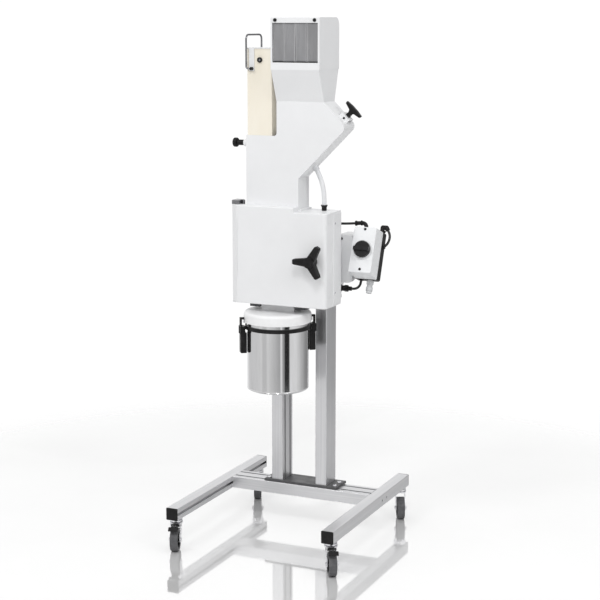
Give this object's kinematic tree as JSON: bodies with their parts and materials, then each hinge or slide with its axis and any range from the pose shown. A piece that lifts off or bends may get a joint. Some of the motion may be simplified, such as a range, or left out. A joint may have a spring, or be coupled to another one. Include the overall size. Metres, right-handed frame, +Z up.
{
  "type": "cutting mill on a wheeled stand",
  "caption": "Cutting mill with side feed hopper, push plunger, hinged front door, collecting vessel and switch box on a wheeled stand of aluminium profile.",
  "frame": {"origin": "on the floor, midway between the four castor swivel axes", "axes": "+Z up, -Y towards the front door, +X to the right seen from the front"},
  "size_m": [0.6097, 0.6957, 1.688],
  "materials": {
    "white": "semi-gloss powder coat",
    "aluminium": "natural anodised",
    "steel": "brushed stainless",
    "bright": "zinc plated",
    "cast": "machined",
    "black": "moulded, satin",
    "plate": "black oxide",
    "tyre": "moulded",
    "cream": "machined plastic",
    "strip": "flexible sheet",
    "grey": "moulded",
    "motor": "painted casting",
    "cable": "matt"
  },
  "bodies": {
    "stand": {"base_plate": "plate", "cable_glands": "black", "cable_loop": "cable", "cable_low": "cable", "cable_top": "cable", "castor_stems": "bright", "chamber_block": "cast", "conduit": "grey", "cross_beam": "aluminium", "curtain_fixings": "plate", "curtain_strips": "strip", "cutting_bars": "steel", "drive_bracket": "white", "fan_cover": "motor", "hinge_brackets": "steel", "hood": "white", "hopper_body": "white", "housing_shell": "white", "mill_screws": "bright", "motor_end_shields": "motor", "motor_housing": "motor", "motor_stator": "cast", "outlet_chute": "white", "posts": "aluminium", "pull_pin_mounts": "white", "rail_end_caps": "black", "side_rails": "aluminium", "sieve": "steel", "stand_screws": "bright", "switch_base": "black", "switch_console": "white", "switch_cover": "grey"},
    "door": {"door_shell": "white", "door_plate": "steel"},
    "star_handle": {"star_handle": "black"},
    "rotor": {"rotor": "steel", "drive_shaft": "steel", "fan": "black"},
    "plunger": {"plunger_block": "cream", "plunger_bracket": "steel"},
    "index_knob": {"index_knob": "black"},
    "pull_handle": {"pull_handle": "black"},
    "collector": {"lid": "white", "vessel": "steel", "clamp_ring": "black"},
    "clamp_handle_left": {"clamp_handle_left": "black"},
    "clamp_hook_left": {"clamp_hook_left": "black"},
    "clamp_handle_right": {"clamp_handle_right": "black"},
    "clamp_hook_right": {"clamp_hook_right": "black"},
    "switch_knob": {"switch_knob": "black"},
    "castor_fork_front_left": {"castor_fork_front_left": "bright"},
    "castor_wheel_front_left": {"castor_wheel_front_left": "tyre"},
    "brake_pedal_front_left": {"brake_pedal_front_left": "black"},
    "castor_fork_front_right": {"castor_fork_front_right": "bright"},
    "castor_wheel_front_right": {"castor_wheel_front_right": "tyre"},
    "brake_pedal_front_right": {"brake_pedal_front_right": "black"},
    "castor_fork_back_right": {"castor_fork_back_right": "bright"},
    "castor_wheel_back_right": {"castor_wheel_back_right": "tyre"},
    "castor_fork_back_left": {"castor_fork_back_left": "bright"},
    "castor_wheel_back_left": {"castor_wheel_back_left": "tyre"}
  },
  "joints": [
    {"name": "door_swing", "type": "hinge", "parent": "stand", "child": "door", "pos_m": [-0.17, -0.0685, 0.93], "axis": [0, 0, 1], "range_deg": [-110, 0]},
    {"name": "star_turn", "type": "hinge", "parent": "door", "child": "star_handle", "pos_m": [0.1255, -0.13, 0.937], "axis": [0, -1, 0], "continuous": true},
    {"name": "rotor_spin", "type": "hinge", "parent": "stand", "child": "rotor", "pos_m": [-0.03, 0, 0.93], "axis": [0, 1, 0], "continuous": true},
    {"name": "plunger_slide", "type": "slide", "parent": "stand", "child": "plunger", "axis": [0, 0, 1], "range_m": [-0.2, 0.08]},
    {"name": "index_pull", "type": "slide", "parent": "stand", "child": "index_knob", "axis": [-1, 0, 0], "range_m": [0, 0.008], "stiffness_N_per_m": 800, "springref_m": -0.004},
    {"name": "handle_pull", "type": "slide", "parent": "stand", "child": "pull_handle", "axis": [0.7071, 0, 0.7071], "range_m": [0, 0.01], "stiffness_N_per_m": 800, "springref_m": -0.004},
    {"name": "collector_slide", "type": "slide", "parent": "stand", "child": "collector", "axis": [0, -1, 0], "range_m": [0, 0.05]},
    {"name": "clamp_right_open", "type": "hinge", "parent": "collector", "child": "clamp_handle_right", "pos_m": [0.05845, 0.0274, 0.705], "axis": [0.6018, -0.7986, 0], "range_deg": [0, 70]},
    {"name": "clamp_right_unhook", "type": "hinge", "parent": "clamp_handle_right", "child": "clamp_hook_right", "pos_m": [0.06563, 0.03282, 0.707], "axis": [0.6018, -0.7986, 0], "range_deg": [-94, 0]},
    {"name": "clamp_left_open", "type": "hinge", "parent": "collector", "child": "clamp_handle_left", "pos_m": [-0.12045, -0.1074, 0.705], "axis": [-0.6018, 0.7986, 0], "range_deg": [0, 70]},
    {"name": "clamp_left_unhook", "type": "hinge", "parent": "clamp_handle_left", "child": "clamp_hook_left", "pos_m": [-0.12763, -0.11282, 0.707], "axis": [-0.6018, 0.7986, 0], "range_deg": [-94, 0]},
    {"name": "switch_turn", "type": "hinge", "parent": "stand", "child": "switch_knob", "pos_m": [0.2355, 0.03175, 0.96168], "axis": [0, -0.9367, 0.3502], "range_deg": [0, 90]},
    {"name": "castor_swivel_front_left", "type": "hinge", "parent": "stand", "child": "castor_fork_front_left", "pos_m": [-0.271, -0.3, 0.0877], "axis": [0, 0, 1], "continuous": true},
    {"name": "castor_roll_front_left", "type": "hinge", "parent": "castor_fork_front_left", "child": "castor_wheel_front_left", "pos_m": [-0.26319, -0.32269, 0.0375], "axis": [0.9455, 0.3256, 0], "continuous": true},
    {"name": "brake_front_left", "type": "hinge", "parent": "castor_fork_front_left", "child": "brake_pedal_front_left", "pos_m": [-0.26709, -0.31135, 0.0807], "axis": [0.9455, 0.3256, 0], "range_deg": [0, 8]},
    {"name": "castor_swivel_front_right", "type": "hinge", "parent": "stand", "child": "castor_fork_front_right", "pos_m": [0.271, -0.3, 0.0877], "axis": [0, 0, 1], "continuous": true},
    {"name": "castor_roll_front_right", "type": "hinge", "parent": "castor_fork_front_right", "child": "castor_wheel_front_right", "pos_m": [0.28336, -0.32057, 0.0375], "axis": [0.8572, 0.515, 0], "continuous": true},
    {"name": "brake_front_right", "type": "hinge", "parent": "castor_fork_front_right", "child": "brake_pedal_front_right", "pos_m": [0.27718, -0.31029, 0.0807], "axis": [0.8572, 0.515, 0], "range_deg": [0, 8]},
    {"name": "castor_swivel_back_right", "type": "hinge", "parent": "stand", "child": "castor_fork_back_right", "pos_m": [0.271, 0.3, 0.0877], "axis": [0, 0, 1], "continuous": true},
    {"name": "castor_roll_back_right", "type": "hinge", "parent": "castor_fork_back_right", "child": "castor_wheel_back_right", "pos_m": [0.28152, 0.27843, 0.0375], "axis": [0.8988, 0.4384, 0], "continuous": true},
    {"name": "castor_swivel_back_left", "type": "hinge", "parent": "stand", "child": "castor_fork_back_left", "pos_m": [-0.271, 0.3, 0.0877], "axis": [0, 0, 1], "continuous": true},
    {"name": "castor_roll_back_left", "type": "hinge", "parent": "castor_fork_back_left", "child": "castor_wheel_back_left", "pos_m": [-0.26124, 0.27808, 0.0375], "axis": [0.9135, 0.4067, 0], "continuous": true}
  ],
  "couplings": [
    {"joint": "clamp_right_unhook", "follows": "clamp_right_open", "ratio": -1.33},
    {"joint": "clamp_left_unhook", "follows": "clamp_left_open", "ratio": -1.33}
  ]
}
